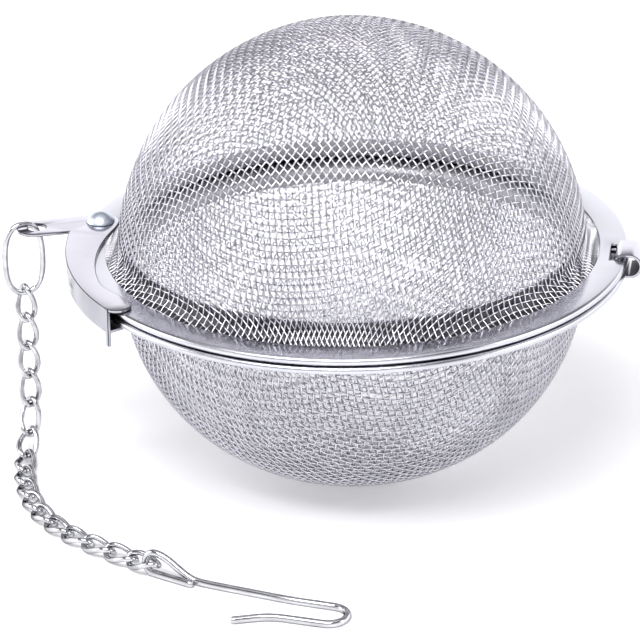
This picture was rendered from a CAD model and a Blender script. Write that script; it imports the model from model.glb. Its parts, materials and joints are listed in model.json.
"""Looks of the mesh ball tea infuser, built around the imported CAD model.

Sizes are in millimetres until the makers of pieces turn them into metres.
The woven cloth, ring, chain and hook are new, finer pieces in the places of the CAD nodes.
The rims, hinge strip, latch and rivet are copies of the CAD shapes with their edges rounded.
"""
import json
import math

import bmesh
import bpy
import numpy as np
from mathutils import Matrix, Vector


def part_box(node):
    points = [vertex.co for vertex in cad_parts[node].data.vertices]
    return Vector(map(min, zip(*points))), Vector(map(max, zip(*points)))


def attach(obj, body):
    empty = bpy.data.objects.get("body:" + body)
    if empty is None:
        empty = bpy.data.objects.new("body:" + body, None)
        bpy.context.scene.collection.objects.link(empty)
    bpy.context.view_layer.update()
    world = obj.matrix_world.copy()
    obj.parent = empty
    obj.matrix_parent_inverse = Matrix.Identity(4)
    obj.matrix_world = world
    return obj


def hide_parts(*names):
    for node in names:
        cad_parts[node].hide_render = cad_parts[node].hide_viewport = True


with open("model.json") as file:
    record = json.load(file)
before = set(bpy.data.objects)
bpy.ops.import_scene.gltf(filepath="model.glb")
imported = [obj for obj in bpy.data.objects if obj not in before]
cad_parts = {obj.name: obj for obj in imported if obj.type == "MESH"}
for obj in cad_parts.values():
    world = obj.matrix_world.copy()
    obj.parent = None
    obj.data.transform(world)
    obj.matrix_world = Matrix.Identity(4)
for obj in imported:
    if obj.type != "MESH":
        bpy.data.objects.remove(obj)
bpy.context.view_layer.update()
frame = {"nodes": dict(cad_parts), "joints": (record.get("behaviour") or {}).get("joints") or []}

MM = 0.001


def node_box(name):
    """Lowest and highest corner of a CAD node, in millimetres."""
    low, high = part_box(name)
    return np.array(low) / MM, np.array(high) / MM


# ---- sizes that follow from the CAD model ----

UPPER_FACE_Z = node_box("upper_rim")[0][2]
LOWER_FACE_Z = node_box("lower_rim")[1][2]
MOUTH_Z = (UPPER_FACE_Z + LOWER_FACE_Z) / 2
DOME_TOP_Z = node_box("upper_mesh")[1][2]
BOWL_FOOT_Z = node_box("lower_mesh")[0][2]

RIM_H = 1.01
CLOTH_R = 31.8
FOOT_R = 6.0
DOME_POWER = 1.95
BOWL_POWER = 2.1


def add_to_scene(name, data):
    """A new object in the scene that shows a mesh, a light or a camera."""
    item = bpy.data.objects.new(name, data)
    bpy.context.scene.collection.objects.link(item)
    return item


# ---- camera ----

VIEW_AZIMUTH = 7.6
VIEW_ELEVATION = 23.58
VIEW_ROLL = -1.05
VIEW_DISTANCE = 600.0
VIEW_LENS = 249.0
SENSOR_WIDTH = 36.0
VIEW_OFF_CENTRE = (-4.40, -9.41)


def make_camera():
    """Looks at the mouth of the ball from the front, with the mouth right of and above the middle."""
    azimuth, elevation = math.radians(VIEW_AZIMUTH), math.radians(VIEW_ELEVATION)
    back = Vector((math.sin(azimuth) * math.cos(elevation),
                   -math.cos(azimuth) * math.cos(elevation), math.sin(elevation)))
    mouth = Vector((0, 0, MOUTH_Z))
    right = Vector((math.cos(azimuth), math.sin(azimuth), 0))
    up = back.cross(right)
    roll = math.radians(VIEW_ROLL)
    right, up = (right * math.cos(roll) + up * math.sin(roll),
                 up * math.cos(roll) - right * math.sin(roll))
    place = mouth + back * VIEW_DISTANCE
    aim = mouth + right * VIEW_OFF_CENTRE[0] + up * VIEW_OFF_CENTRE[1]
    away = (place - aim).normalized()
    across = (right - away * right.dot(away)).normalized()
    turn = Matrix((across, away.cross(across), away)).transposed()
    data = bpy.data.cameras.new("camera")
    data.lens = VIEW_LENS
    data.sensor_width = SENSOR_WIDTH
    data.clip_start = 0.01
    data.clip_end = 20.0
    camera = add_to_scene("camera", data)
    camera.matrix_world = Matrix.Translation(place * MM) @ turn.to_4x4()
    bpy.context.scene.camera = camera


make_camera()


# ---- mesh helpers ----

def mesh_piece(name, points, faces, material, smooth=True):
    """A mesh object from points in millimetres."""
    mesh = bpy.data.meshes.new(name)
    mesh.from_pydata((np.asarray(points) * MM).tolist(), [], faces)
    mesh.polygons.foreach_set("use_smooth", [smooth] * len(mesh.polygons))
    mesh.materials.append(material)
    mesh.update()
    return add_to_scene(name, mesh)


def place_piece(piece, body, slot, *nodes):
    """Says which CAD body a piece moves with, whose finish it has and which CAD nodes it stands for."""
    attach(piece, body)
    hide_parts(*nodes)


def unit(vectors):
    """The same directions at length 1."""
    return vectors / np.maximum(np.linalg.norm(vectors, axis=-1, keepdims=True), 1e-12)


def tube_rings(path, normals, radii, sides, closed=False):
    """Rings of points round a path, whose normals need only be roughly across it."""
    if closed:
        ways = unit(np.roll(path, -1, 0) - np.roll(path, 1, 0))
    else:
        ways = unit(np.gradient(path, axis=0))
    beside = unit(np.cross(ways, normals))
    above = np.cross(beside, ways)
    angles = np.arange(sides) * 2 * math.pi / sides
    radii = np.broadcast_to(radii, len(path))[:, None, None]
    spokes = (above[:, None] * np.cos(angles)[None, :, None]
              + beside[:, None] * np.sin(angles)[None, :, None])
    return path[:, None] + radii * spokes


def ring_faces(count, sides, first=0, closed=False):
    """Quads between rings of points, and flat ends where the tube is open."""
    faces = []
    for i in range(count if closed else count - 1):
        j = (i + 1) % count
        for k in range(sides):
            m = (k + 1) % sides
            faces.append((first + i * sides + k, first + i * sides + m,
                          first + j * sides + m, first + j * sides + k))
    if not closed:
        faces.append(tuple(first + k for k in range(sides))[::-1])
        faces.append(tuple(first + (count - 1) * sides + k for k in range(sides)))
    return faces


def carried_normals(path, first):
    """Directions across a path, carried along it without twisting."""
    ways = unit(np.gradient(path, axis=0))
    normal = np.array(first, float)
    normals = []
    for way in ways:
        normal = normal - way * normal.dot(way)
        normal /= np.linalg.norm(normal)
        normals.append(normal)
    return np.array(normals)


# ---- materials ----

# a noise mostly stays between these, so they are the ends of its tones
NOISE_LOW = 0.3
NOISE_HIGH = 0.7


def add_node(tree, kind, **values):
    """A shader node with its sockets, or else its settings, at the values given."""
    node = tree.nodes.new(kind)
    for key, value in values.items():
        if key in node.inputs:
            node.inputs[key].default_value = value
        else:
            setattr(node, key, value)
    return node


def noise(tree, vector, scale, detail=3.0):
    """Soft noise; the scale is in bumps per metre."""
    node = add_node(tree, "ShaderNodeTexNoise", Scale=scale, Detail=detail)
    tree.links.new(vector, node.inputs["Vector"])
    return node.outputs["Fac"]


def spread(tree, value, low, high, start=NOISE_LOW, end=NOISE_HIGH):
    """Maps a noise onto a range of numbers."""
    node = add_node(tree, "ShaderNodeMapRange")
    node.inputs["From Min"].default_value = start
    node.inputs["From Max"].default_value = end
    node.inputs["To Min"].default_value = low
    node.inputs["To Max"].default_value = high
    tree.links.new(value, node.inputs["Value"])
    return node.outputs["Result"]


def two_tones(tree, value, dark, light):
    """Colours a noise from dark to light."""
    node = tree.nodes.new("ShaderNodeValToRGB")
    node.color_ramp.elements[0].position = NOISE_LOW
    node.color_ramp.elements[1].position = NOISE_HIGH
    node.color_ramp.elements[0].color = (*dark, 1)
    node.color_ramp.elements[1].color = (*light, 1)
    tree.links.new(value, node.inputs["Fac"])
    return node.outputs["Color"]


def metal_base(name):
    """A metal, with its tree, its shader and the place on the piece to hang noises on."""
    material = bpy.data.materials.new(name)
    material.use_nodes = True
    tree = material.node_tree
    shader = tree.nodes["Principled BSDF"]
    shader.inputs["Metallic"].default_value = 1.0
    place = tree.nodes.new("ShaderNodeTexCoord").outputs["Object"]
    return material, tree, shader, place


def wire_steel(name, dark, light, rough, grain_mm=1.5):
    """Drawn wire: tone and gloss change softly along it, with fine pits."""
    material, tree, shader, place = metal_base(name)
    shader.inputs["Specular Tint"].default_value = (0.15, 0.15, 0.16, 1)
    tone = noise(tree, place, 1000 / grain_mm)
    tree.links.new(two_tones(tree, tone, dark, light), shader.inputs["Base Color"])
    gloss = noise(tree, place, 2600 / grain_mm, 2.0)
    tree.links.new(spread(tree, gloss, *rough), shader.inputs["Roughness"])
    bump = add_node(tree, "ShaderNodeBump", Strength=0.15, Distance=0.00002)
    tree.links.new(noise(tree, place, 9000 / grain_mm, 2.0), bump.inputs["Height"])
    tree.links.new(bump.outputs["Normal"], shader.inputs["Normal"])
    return material


def turned_steel(name, dark, light, rough, brushed=0.35):
    """Sheet polished on a lathe: fine rings about the ball's axis, and soft stains."""
    material, tree, shader, place = metal_base(name)
    flat = add_node(tree, "ShaderNodeVectorMath", operation="MULTIPLY")
    flat.inputs[1].default_value = (1, 1, 0)
    tree.links.new(place, flat.inputs[0])
    radius = add_node(tree, "ShaderNodeVectorMath", operation="LENGTH")
    tree.links.new(flat.outputs["Vector"], radius.inputs[0])
    rings = add_node(tree, "ShaderNodeTexNoise", noise_dimensions="1D", Scale=9000.0, Detail=4.0)
    tree.links.new(radius.outputs["Value"], rings.inputs["W"])
    stains = noise(tree, place, 90.0, 4.0)
    tree.links.new(two_tones(tree, stains, dark, light), shader.inputs["Base Color"])
    tree.links.new(spread(tree, stains, *rough), shader.inputs["Roughness"])
    bump = add_node(tree, "ShaderNodeBump", Strength=brushed, Distance=0.00002)
    tree.links.new(rings.outputs["Fac"], bump.inputs["Height"])
    tree.links.new(bump.outputs["Normal"], shader.inputs["Normal"])
    shader.inputs["Anisotropic"].default_value = 0.5
    tangent = add_node(tree, "ShaderNodeTangent", direction_type="RADIAL", axis="Z")
    tree.links.new(tangent.outputs["Tangent"], shader.inputs["Tangent"])
    return material


def pressed_steel(name, dark, light, rough):
    """Sheet pressed from bright strip: long faint scratches and a few finger marks."""
    material, tree, shader, place = metal_base(name)
    marks = noise(tree, place, 160.0, 5.0)
    tree.links.new(two_tones(tree, marks, dark, light), shader.inputs["Base Color"])
    tree.links.new(spread(tree, marks, *rough), shader.inputs["Roughness"])
    grain = add_node(tree, "ShaderNodeMapping")
    grain.inputs["Scale"].default_value = (600, 9000, 9000)
    tree.links.new(place, grain.inputs["Vector"])
    bump = add_node(tree, "ShaderNodeBump", Strength=0.12, Distance=0.00001)
    tree.links.new(noise(tree, grain.outputs["Vector"], 1.0, 2.0), bump.inputs["Height"])
    tree.links.new(bump.outputs["Normal"], shader.inputs["Normal"])
    return material


cloth_steel = wire_steel("cloth wire", (0.51, 0.505, 0.545), (0.69, 0.68, 0.73), (0.08, 0.20))
chain_steel = wire_steel("chain wire", (0.44, 0.44, 0.46), (0.72, 0.72, 0.74), (0.06, 0.14))
hook_steel = wire_steel("hook wire", (0.50, 0.50, 0.52), (0.68, 0.68, 0.70), (0.05, 0.12), 4.0)
rim_steel = turned_steel("rim steel", (0.52, 0.52, 0.57), (0.64, 0.64, 0.69), (0.16, 0.26), 0.15)
collar_steel = turned_steel("collar steel", (0.38, 0.38, 0.40), (0.48, 0.48, 0.50), (0.36, 0.48))
covered_steel = turned_steel("covered steel", (0.07, 0.07, 0.08), (0.15, 0.15, 0.16), (0.40, 0.55))
sheet_steel = pressed_steel("latch steel", (0.43, 0.42, 0.47), (0.52, 0.51, 0.56), (0.10, 0.18))
edge_steel = pressed_steel("sheared edge", (0.03, 0.03, 0.04), (0.09, 0.09, 0.11), (0.30, 0.45))
wall_steel = pressed_steel("folded steel", (0.30, 0.30, 0.34), (0.46, 0.46, 0.50), (0.12, 0.22))
rivet_steel = pressed_steel("rivet steel", (0.50, 0.55, 0.62), (0.66, 0.71, 0.78), (0.32, 0.42))


# ---- woven wire cloth ----

WIRE_R = 0.12
CRIMP = 0.10
CLOTH_PITCH = 0.95
CLOTH_HALF = WIRE_R + CRIMP
FLARE_X = 34.2
FLARE_Z = 2.4 - RIM_H / 2
BRIM_Z = 0.45 - RIM_H / 2
BRIM_END_R = 34.8
BRIM_SPARE = 4.0
FLARE_SHARPNESS = 1.5
DOME_FOOT_R = 1.0
DOME_WEAVE_TURN = -42.4
BOWL_WEAVE_TURN = -70.4
WIRE_SIDES = 6
SHORTEST_WIRE = 3

BOWL_STEPS = 600
FLARE_STEPS = 60
FOOT_STEPS = 30
EVEN_STEPS = 3000
SOLVER_STEPS = 12
SOLVER_TURN = 0.2
SOLVER_MISS = 0.02


def shell_line(height, power, foot):
    """Arc length, radius and height above the brim of the cloth, from its pole to past its brim."""
    r_max = CLOTH_R - CLOTH_HALF
    last = math.asin(math.sqrt(1 - (foot / r_max) ** power))
    a = np.linspace(last, 0, BOWL_STEPS)
    r = r_max * np.cos(a) ** (2 / power)
    z = height * (np.sin(a) / math.sin(last)) ** (2 / power)
    r, z = r[z > FLARE_Z], z[z > FLARE_Z]
    turn = np.linspace(0, math.pi / 2, FLARE_STEPS)[1:]
    flat = np.linspace(0, foot, FOOT_STEPS, endpoint=False)
    brim = np.linspace(FLARE_X, BRIM_END_R + BRIM_SPARE, FLARE_STEPS)[1:]
    flare_r = FLARE_X - (FLARE_X - r[-1]) * np.cos(turn) ** FLARE_SHARPNESS
    flare_z = FLARE_Z - (FLARE_Z - BRIM_Z) * np.sin(turn) ** FLARE_SHARPNESS
    r_all = np.concatenate([flat, r, flare_r, brim])
    z_all = np.concatenate([flat * 0 + height, z, flare_z, brim * 0 + BRIM_Z])
    s = np.concatenate([[0], np.cumsum(np.hypot(np.diff(r_all), np.diff(z_all)))])
    even = np.linspace(0, s[-1], EVEN_STEPS)
    return even, np.interp(even, s, r_all), np.interp(even, s, z_all)


class Shell:
    """A surface of revolution that a cloth lies on, by arc length from the pole and angle."""

    def __init__(self, height, power, foot):
        self.s, self.r, self.z = shell_line(height, power, foot)
        self.dr = np.gradient(self.r, self.s)
        self.dz = np.gradient(self.z, self.s)

    def at(self, s, angle):
        """Points on the surface."""
        r = np.interp(s, self.s, self.r)
        return np.stack([r * np.cos(angle), r * np.sin(angle), np.interp(s, self.s, self.z)], -1)

    def slopes(self, s, angle):
        """How a point moves with arc length and with angle."""
        r, dr, dz = (np.interp(s, self.s, v) for v in (self.r, self.dr, self.dz))
        down = np.stack([dr * np.cos(angle), dr * np.sin(angle), dz], -1)
        round_ = np.stack([-r * np.sin(angle), r * np.cos(angle), 0 * r], -1)
        return down, round_

    def normal(self, s, angle):
        """Directions out of the surface."""
        dr, dz = (np.interp(s, self.s, v) for v in (self.dr, self.dz))
        return unit(np.stack([-dz * np.cos(angle), -dz * np.sin(angle), dr], -1))


def next_crossings(shell, pitch, left, below, s, angle):
    """Improves guessed crossings until each is one pitch from both the crossings before it."""
    for _ in range(SOLVER_STEPS):
        here = shell.at(s, angle)
        down, round_ = shell.slopes(s, angle)
        to_left, to_below = here - left, here - below
        miss_1 = (to_left ** 2).sum(-1) - pitch ** 2
        miss_2 = (to_below ** 2).sum(-1) - pitch ** 2
        a11, a12 = 2 * (to_left * down).sum(-1), 2 * (to_left * round_).sum(-1)
        a21, a22 = 2 * (to_below * down).sum(-1), 2 * (to_below * round_).sum(-1)
        size = a11 * a22 - a12 * a21
        s = s - np.clip((miss_1 * a22 - miss_2 * a12) / size, -pitch, pitch)
        angle = angle - np.clip((a11 * miss_2 - a21 * miss_1) / size, -SOLVER_TURN, SOLVER_TURN)
    return s, angle


def weave_quarter(shell, pitch):
    """Arc length and angle of each crossing in a quarter of the cloth.

    Each crossing lies one pitch along both wires from the two before it, as in cloth that shears
    but doesn't stretch. The first two wires run straight over the pole."""
    count = int(shell.s[-1] / pitch)
    s = np.full((count, count), np.nan)
    angle = np.full((count, count), np.nan)
    s[:, 0] = s[0, :] = np.arange(count) * pitch
    angle[:, 0] = 0
    angle[0, 1:] = math.pi / 2
    for total in range(2, 2 * count - 1):
        i = np.arange(max(1, total - count + 1), min(total, count))
        j = total - i
        left, below = shell.at(s[i - 1, j], angle[i - 1, j]), shell.at(s[i, j - 1], angle[i, j - 1])
        back = shell.at(s[i - 1, j - 1], angle[i - 1, j - 1])
        guess = left + below - back
        a = np.arctan2(guess[:, 1], guess[:, 0])
        d = s[i - 1, j] + s[i, j - 1] - s[i - 1, j - 1]
        if total == 2:
            d = np.array([pitch * math.sqrt(2)])
        d, a = next_crossings(shell, pitch, left, below, d, a)
        here = shell.at(d, a)
        off = np.abs(np.linalg.norm(here - left, axis=-1) - pitch)
        off = np.maximum(off, np.abs(np.linalg.norm(here - below, axis=-1) - pitch))
        good = (off < SOLVER_MISS * pitch) & (d > s[i - 1, j - 1]) & (a > 0) & (a < math.pi / 2)
        s[i[good], j[good]] = d[good]
        angle[i[good], j[good]] = a[good]
    return s, angle


def cloth_wires(shell, pitch):
    """Both sets of wires of a whole half.

    Each wire is its number, its path, the cloth's normals along it, and 1 where it goes over and
    -1 where it goes under a wire of the other set."""
    s, angle = weave_quarter(shell, pitch)
    count = len(s)
    places, normals = shell.at(s, angle), shell.normal(s, angle)
    inside = np.interp(np.nan_to_num(s, nan=1e9), shell.s, shell.r) < BRIM_END_R
    span = np.arange(-count + 1, count)
    sets = ([], [])
    for fixed in span:
        for which, wires in enumerate(sets):
            i, j = np.abs(span), np.full(len(span), abs(fixed))
            if which == 1:
                i, j = j, i
            keep = inside[i, j] & np.isfinite(s[i, j])
            # only the run of crossings that includes the middle of the wire
            middle = len(span) // 2
            if not keep[middle]:
                continue
            stop = middle + np.argmin(np.append(keep[middle:], False))
            start = middle - np.argmin(np.append(keep[middle::-1], False)) + 1
            if stop - start < SHORTEST_WIRE:
                continue
            run = slice(start, stop)
            along = span[run]
            # the other quarters of the cloth mirror the first
            flip = np.ones((stop - start, 3))
            flip[:, which] = np.sign(along) + (along == 0)
            flip[:, 1 - which] = 1 if fixed >= 0 else -1
            path, across = places[i[run], j[run]] * flip, normals[i[run], j[run]] * flip
            over = np.where((along + fixed) % 2 == 0, 1.0, -1.0) * (1 if which == 0 else -1)
            wires.append((fixed, path, across, over))
    return sets


def crimped(path, normals, over):
    """A wire's path with its waves over and under the wires it crosses."""
    count = 2 * len(path) - 1
    fine = np.empty((count, 3))
    across = np.empty((count, 3))
    fine[::2] = path + normals * (CRIMP * over)[:, None]
    across[::2] = normals
    fine[1::2] = (path[1:] + path[:-1]) / 2
    across[1::2] = unit(normals[1:] + normals[:-1])
    return fine, across


def cloth_piece(name, wires, turn, z_sign, brim_z):
    """One mesh of many wires, turned about the axis and set on its rim."""
    points, faces = [], []
    first = 0
    c, s = math.cos(math.radians(turn)), math.sin(math.radians(turn))
    for _, path, normals, over in wires:
        fine, across = crimped(path, normals, over)
        rings = tube_rings(fine, across, WIRE_R, WIRE_SIDES)
        faces += ring_faces(len(fine), WIRE_SIDES, first)
        first += len(fine) * WIRE_SIDES
        points.append(rings.reshape(-1, 3))
    points = np.concatenate(points)
    x, y, z = points.T
    placed = np.stack([x * c - y * s, x * s + y * c, brim_z + z_sign * z], -1)
    if z_sign < 0:
        faces = [face[::-1] for face in faces]
    return mesh_piece(name, placed, faces, cloth_steel)


def make_cloth(half, body, node, height, power, foot, turn, z_sign, brim_z):
    """The two sets of wires of one half, each in two pieces."""
    shell = Shell(height, power, foot)
    for label, wires in zip(("warp", "weft"), cloth_wires(shell, CLOTH_PITCH)):
        sides = {"a": [wire for wire in wires if wire[0] < 0],
                 "b": [wire for wire in wires if wire[0] >= 0]}
        for side, chosen in sides.items():
            piece = cloth_piece(f"{half}_{label}_{side}", chosen, turn, z_sign, brim_z)
            place_piece(piece, body, "wire_cloth", node)


upper_brim_z = UPPER_FACE_Z + RIM_H / 2
lower_brim_z = LOWER_FACE_Z - RIM_H / 2
make_cloth("upper", "upper_half", "upper_mesh", DOME_TOP_Z - upper_brim_z - CLOTH_HALF,
           DOME_POWER, DOME_FOOT_R, DOME_WEAVE_TURN, 1, upper_brim_z)
make_cloth("lower", "lower_half", "lower_mesh", lower_brim_z - BOWL_FOOT_Z - CLOTH_HALF,
           BOWL_POWER, FOOT_R, BOWL_WEAVE_TURN, -1, lower_brim_z)


# ---- metal sheet pieces: the CAD shape with its edges rounded ----

MERGE_DISTANCE = 0.03
FLAT_DEG = 0.5
SHARP_DEG = 32.0
# places of a piece's steels in its list of materials
SHEET, EDGE, INSIDE, SIDE = range(4)
# how far a face's normal must point along the axis, or into the hollow, to count as such
LEVEL_FACE = 0.97
UPRIGHT_FACE = 0.5
CURL_INSIDE = 0.5
CHANNEL_INSIDE = 0.4
HINGE_CURL_X = 37.7
HINGE_CURL_RISE = 0.175
CHANNEL_INNER_R = 35.0
CHANNEL_MIDDLE_R = 37.0
CHANNEL_OUTER_R = 38.8
SMALL_EDGE = 0.07
LARGE_EDGE = 0.10
RIM_STEELS = (rim_steel, rim_steel, collar_steel, covered_steel)


def rounded_copy(node, body, slot, edge_mm, materials, paint=None):
    """A copy of a CAD node whose sharp edges are rounded over, as on pressed and tumbled sheet.

    Its edges get the second material, and paint says which one each other face gets."""
    mesh = bpy.data.meshes.new(node + "_rounded")
    shape = bmesh.new()
    shape.from_mesh(frame["nodes"][node].data)
    bmesh.ops.remove_doubles(shape, verts=shape.verts, dist=MERGE_DISTANCE * MM)
    bmesh.ops.dissolve_limit(shape, angle_limit=math.radians(FLAT_DEG), verts=shape.verts,
                             edges=shape.edges)
    for face in shape.faces:
        face.material_index = SHEET
    sharp = [edge for edge in shape.edges
             if edge.is_manifold and edge.calc_face_angle() > math.radians(SHARP_DEG)]
    bmesh.ops.bevel(shape, geom=sharp, offset=edge_mm * MM, segments=3, profile=0.6,
                    affect="EDGES", clamp_overlap=False, material=EDGE)
    bmesh.ops.triangulate(shape, faces=shape.faces)
    shape.to_mesh(mesh)
    shape.free()
    for material in materials:
        mesh.materials.append(material)
    for face in mesh.polygons:
        if paint and face.material_index == SHEET:
            face.material_index = paint(np.array(face.center) / MM, np.array(face.normal))
    mesh.polygons.foreach_set("use_smooth", [True] * len(mesh.polygons))
    mesh.set_sharp_from_angle(angle=math.radians(SHARP_DEG))
    place_piece(add_to_scene(node + "_rounded", mesh), body, slot, node)


def rim_paint(centre, normal):
    """Tells a rim's flat and lip from the inside of its collar and the side under the cloth."""
    if np.hypot(*centre[:2]) > FLARE_X or abs(normal[2]) > LEVEL_FACE:
        return SHEET
    return INSIDE if centre[:2].dot(normal[:2]) < 0 else SIDE


def hinge_paint(centre, normal):
    """Tells the inside of the hinge's curl from the rest of the strip."""
    to_middle = np.array([HINGE_CURL_X - centre[0], 0, MOUTH_Z + HINGE_CURL_RISE - centre[2]])
    faces_in = normal.dot(unit(to_middle)) > CURL_INSIDE
    return INSIDE if centre[0] > HINGE_CURL_X and faces_in else SHEET


def latch_paint(centre, normal):
    """Tells the inside of the latch's channel and its wall from its flat faces."""
    r = np.hypot(*centre[:2])
    outward = np.array([*centre[:2] / r, 0])
    to_middle = outward * (CHANNEL_MIDDLE_R - r) + (0, 0, MOUTH_Z - centre[2])
    if CHANNEL_INNER_R < r < CHANNEL_OUTER_R and normal.dot(unit(to_middle)) > CHANNEL_INSIDE:
        return INSIDE
    return SIDE if abs(normal[2]) < UPRIGHT_FACE else SHEET


rounded_copy("upper_rim", "upper_half", "rim_steel", SMALL_EDGE, RIM_STEELS, rim_paint)
rounded_copy("lower_rim", "lower_half", "rim_steel", SMALL_EDGE, RIM_STEELS, rim_paint)
rounded_copy("hinge_strip", "lower_half", "bright_sheet", SMALL_EDGE,
             (sheet_steel, edge_steel, covered_steel), hinge_paint)
rounded_copy("latch_clip", "latch", "bright_sheet", LARGE_EDGE,
             (sheet_steel, edge_steel, covered_steel, wall_steel), latch_paint)
rounded_copy("rivet", "upper_half", "rivet", LARGE_EDGE, (rivet_steel, rivet_steel))


# ---- ring, chain and hook ----

RING_WIRE = 0.8
RING_W = 6.2
RING_H = 10.9
RING_YAW = 30.0
RING_POINTS = 96
LINKS = 16
LINK_POINTS = 80
CHAIN_SIDES = 16
LINK_WIRE = 0.75
LINK_LEN = 5.87
LINK_W = 3.15
LINK_TWIST = 90.0
STRAIGHT_DOWN = 0.01
LINK_ROLLS = {1: 12, 2: 5, 14: 6, 15: 16, 16: 16}
HOOK_WIRE = 1.0
HOOK_WAY = -26.0
HOOK_SIDES = 20
SMOOTHING_PASSES = 3
TAIL_POINTS = 13
EYE_POINTS = 33
EYE_RUN_POINTS = 25
EYE_R = 1.35
EYE_TAIL = 6.3
EYE_RUN = 6.5
EYE_SIDE = 0.55
EYE_AT_GRIP = (-0.15, 0.45, 0)
HOOK_BEND_R = 2.4
HOOK_BEND = 179.0
# length and turn of each stretch of wire from the eye to the tip
HOOK_STEPS = ((2, 9.5), (8.8, 0), (5, 5), (3.6, 0),
              (HOOK_BEND_R * math.radians(HOOK_BEND), -HOOK_BEND), (5.4, 0), (3.5, 28), (3.3, 0))
HOOK_STEP_MM = 0.25
# share of the wire's radius, and distance past its cut, of the two rings that round off an end
END_RINGS = ((0.86, 0.0), (0.55, 0.06))


def joint_place(child):
    """Where the joint that carries a body lies, in millimetres."""
    joint = next(j for j in frame["joints"] if j["child"] == child)
    return np.array(joint["pos_m"]) / MM


def rolled(oval, roll, fall, heading):
    """Points turned about X, then Y, then Z."""
    turn = (Matrix.Rotation(math.radians(heading), 3, "Z")
            @ Matrix.Rotation(math.radians(fall), 3, "Y")
            @ Matrix.Rotation(math.radians(roll), 3, "X"))
    return oval @ np.array(turn).T


def oval_line(a, b, twist, count, power=2.5):
    """A closed squared oval, long way along X, twisted about X."""
    u = np.arange(count) * 2 * math.pi / count
    x = a * np.sign(np.cos(u)) * np.abs(np.cos(u)) ** (2 / power)
    y = b * np.sign(np.sin(u)) * np.abs(np.sin(u)) ** (2 / power)
    turn = -math.radians(twist) / 2 * x / a
    return np.stack([x, y * np.cos(turn), y * np.sin(turn)], -1)


def closed_wire(name, line, centre, wire):
    """A wire of the chain's steel along a closed line that goes round the centre."""
    rings = tube_rings(line, line - centre, wire / 2, CHAIN_SIDES, closed=True)
    faces = ring_faces(len(line), CHAIN_SIDES, closed=True)
    return mesh_piece(name, rings.reshape(-1, 3), faces, chain_steel)


def make_ring():
    """The big oval ring, hanging from the latch's tab."""
    low, high = node_box("tab_ring")
    centre = (low + high) / 2
    oval = oval_line((RING_H - RING_WIRE) / 2, (RING_W - RING_WIRE) / 2, 0, RING_POINTS)
    line = rolled(rolled(oval, 90, 0, 0), 0, 90, RING_YAW) + centre
    piece = closed_wire("ring_wire", line, centre, RING_WIRE)
    place_piece(piece, "ring", "chain_wire", "tab_ring")


def make_links():
    """The chain, link by link between the joints; returns where the last link grips the hook."""
    grips = [joint_place(f"link_{i:02d}") for i in range(1, LINKS + 1)]
    way = np.array([math.cos(math.radians(HOOK_WAY)), math.sin(math.radians(HOOK_WAY)), 0])
    grips.append(joint_place("hook") + way)
    heading = 0.0
    for i in range(LINKS, 0, -1):
        along = unit(grips[i] - grips[i - 1])
        # a link that hangs straight down has no heading of its own and keeps the next one's
        if math.hypot(along[0], along[1]) > STRAIGHT_DOWN:
            heading = math.degrees(math.atan2(along[1], along[0]))
        fall = math.degrees(math.asin(-along[2]))
        centre = (grips[i] + grips[i - 1]) / 2
        oval = oval_line((LINK_LEN - LINK_WIRE) / 2, (LINK_W - LINK_WIRE) / 2,
                         LINK_TWIST, LINK_POINTS)
        line = rolled(oval, LINK_ROLLS.get(i, 0), fall, heading) + centre
        piece = closed_wire(f"chain_link_{i:02d}", line, centre, LINK_WIRE)
        place_piece(piece, f"link_{i:02d}", "chain_wire", f"link_{i:02d}")
    return grips[LINKS]


def hook_line():
    """The hook's wire in its own frame: its tail, the eye, the shank, the bend and the tip."""
    points = [(EYE_TAIL * u, -EYE_SIDE, 0) for u in np.linspace(1, 0, TAIL_POINTS)[:-1]]
    for a in np.linspace(0, math.pi, EYE_POINTS):
        points.append((-EYE_R * math.sin(a), EYE_SIDE * (a / math.pi - 1), EYE_R * (1 - math.cos(a))))
    for u in np.linspace(0, 1, EYE_RUN_POINTS)[1:]:
        points.append((EYE_RUN * u, EYE_SIDE * u, EYE_R * (1 + math.cos(math.pi * u))))
    x, y, way = EYE_RUN, EYE_SIDE, 0.0
    for length, turn in HOOK_STEPS:
        count = max(4, round(length / HOOK_STEP_MM))
        for _ in range(count):
            way += math.radians(turn) / count / 2
            x += length / count * math.cos(way)
            y += length / count * math.sin(way)
            way += math.radians(turn) / count / 2
            points.append((x, y, 0))
    return np.array(points)


def make_hook(grip):
    """The wire hook with its eye round the last link."""
    line = hook_line() + EYE_AT_GRIP
    for _ in range(SMOOTHING_PASSES):
        line[1:-1] = (line[:-2] + 2 * line[1:-1] + line[2:]) / 4
    line = rolled(line, 0, 0, HOOK_WAY) + (grip[0], grip[1], HOOK_WIRE / 2)
    rings = tube_rings(line, carried_normals(line, (0, 0, 1)), HOOK_WIRE / 2, HOOK_SIDES)
    ends = []
    for tip, inward in ((0, 1), (-1, -1)):
        outward = unit(line[tip] - line[tip + inward])
        for share, out in END_RINGS:
            ends.append(line[tip] + (rings[tip] - line[tip]) * share + outward * out)
    rings = np.concatenate([[ends[1], ends[0]], rings[1:-1], [ends[2], ends[3]]])
    faces = ring_faces(len(rings), HOOK_SIDES)
    piece = mesh_piece("hook_wire", rings.reshape(-1, 3), faces, hook_steel)
    place_piece(piece, "hook", "hook_wire", "wire_hook")


make_ring()
make_hook(make_links())


# ---- floor and lights ----

FLOOR_HALF = 1500.0
FLOOR_GLOW = 0.06
FLOOR_ROUGHNESS = 0.7
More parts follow.
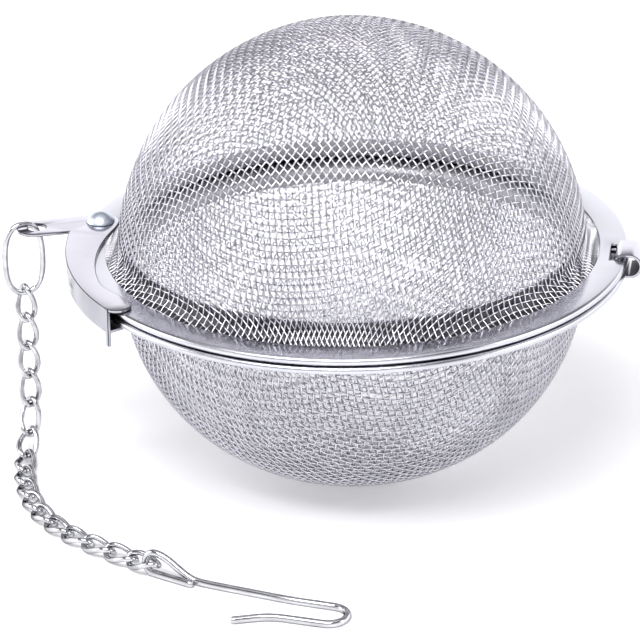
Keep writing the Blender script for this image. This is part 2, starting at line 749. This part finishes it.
# heights are those of a direction of length 1
WALL_TOP = 0.43
WALL_FADE = 0.08
WALL_LIGHT = 1.8
WALL_TINT = (0.98, 0.98, 1.0)
ROOM_LIGHT = 0.26
ROOM_TINT = (0.94, 0.95, 1.0)
FRONT_SHARE = 0.5
OVERHEAD_Z = 0.9
OVERHEAD_LIGHT = 0.9
OVERHEAD_TINT = (0.97, 0.97, 1.0)
# name, place, size and power
SOFT_BOXES = (("key", (-100, -420, 720), (600, 400), 6.6),
              ("left", (-800, -100, 350), (300, 600), 2.6),
              ("right", (800, -100, 350), (300, 600), 2.0))
LIT_PLACE = (0, 0, 30)


def make_floor():
    """A white sheet lit a little from below, as on a light table."""
    material = bpy.data.materials.new("floor")
    material.use_nodes = True
    tree = material.node_tree
    shader = tree.nodes["Principled BSDF"]
    place = tree.nodes.new("ShaderNodeTexCoord").outputs["Object"]
    tone = two_tones(tree, noise(tree, place, 6.0), (0.93, 0.93, 0.94), (0.95, 0.95, 0.96))
    tree.links.new(tone, shader.inputs["Base Color"])
    shader.inputs["Roughness"].default_value = FLOOR_ROUGHNESS
    shader.inputs["Emission Color"].default_value = (1, 1, 1, 1)
    shader.inputs["Emission Strength"].default_value = FLOOR_GLOW
    corners = [(-FLOOR_HALF, -FLOOR_HALF, 0), (FLOOR_HALF, -FLOOR_HALF, 0),
               (FLOOR_HALF, FLOOR_HALF, 0), (-FLOOR_HALF, FLOOR_HALF, 0)]
    floor = mesh_piece("floor", corners, [(0, 1, 2, 3)], material, smooth=False)


def area_light(name, place, size, power):
    """A soft box at a place, turned towards the ball."""
    data = bpy.data.lights.new(name, "AREA")
    data.shape = "RECTANGLE"
    data.size, data.size_y = size[0] * MM, size[1] * MM
    data.energy = power
    light = add_to_scene(name, data)
    light.location = Vector(place) * MM
    away = Vector(place) - Vector(LIT_PLACE)
    light.rotation_mode = "QUATERNION"
    light.rotation_quaternion = away.to_track_quat("Z", "Y")


def half_light(light, tint):
    """A colour for the world's ramp, which can't go past 1 and so holds half the light."""
    return (*[light / 2 * c for c in tint], 1)


def make_world():
    """A white wall all round up to a low height, and a darker room above it and behind the camera."""
    world = bpy.data.worlds.new("studio")
    bpy.context.scene.world = world
    world.use_nodes = True
    tree = world.node_tree
    back = tree.nodes["Background"]
    way = add_node(tree, "ShaderNodeSeparateXYZ")
    tree.links.new(tree.nodes.new("ShaderNodeTexCoord").outputs["Generated"], way.inputs[0])
    ramp = tree.nodes.new("ShaderNodeValToRGB")
    ramp.color_ramp.elements[0].position = WALL_TOP
    ramp.color_ramp.elements[0].color = half_light(WALL_LIGHT, WALL_TINT)
    ramp.color_ramp.elements[1].position = WALL_TOP + WALL_FADE
    ramp.color_ramp.elements[1].color = half_light(ROOM_LIGHT, ROOM_TINT)
    for height, light in ((OVERHEAD_Z - WALL_FADE, ROOM_LIGHT), (OVERHEAD_Z, OVERHEAD_LIGHT)):
        ramp.color_ramp.elements.new(height).color = half_light(light, OVERHEAD_TINT)
    tree.links.new(way.outputs["Z"], ramp.inputs["Fac"])
    tree.links.new(ramp.outputs["Color"], back.inputs["Color"])
    tree.links.new(spread(tree, way.outputs["Y"], 2 * FRONT_SHARE, 2.0, -0.8, 0.4),
                   back.inputs["Strength"])


def make_light():
    """The room and three soft boxes: one high behind the camera and one at each side."""
    make_world()
    for box in SOFT_BOXES:
        area_light(*box)


make_floor()
make_light()
bpy.context.scene.view_settings.view_transform = "Standard"
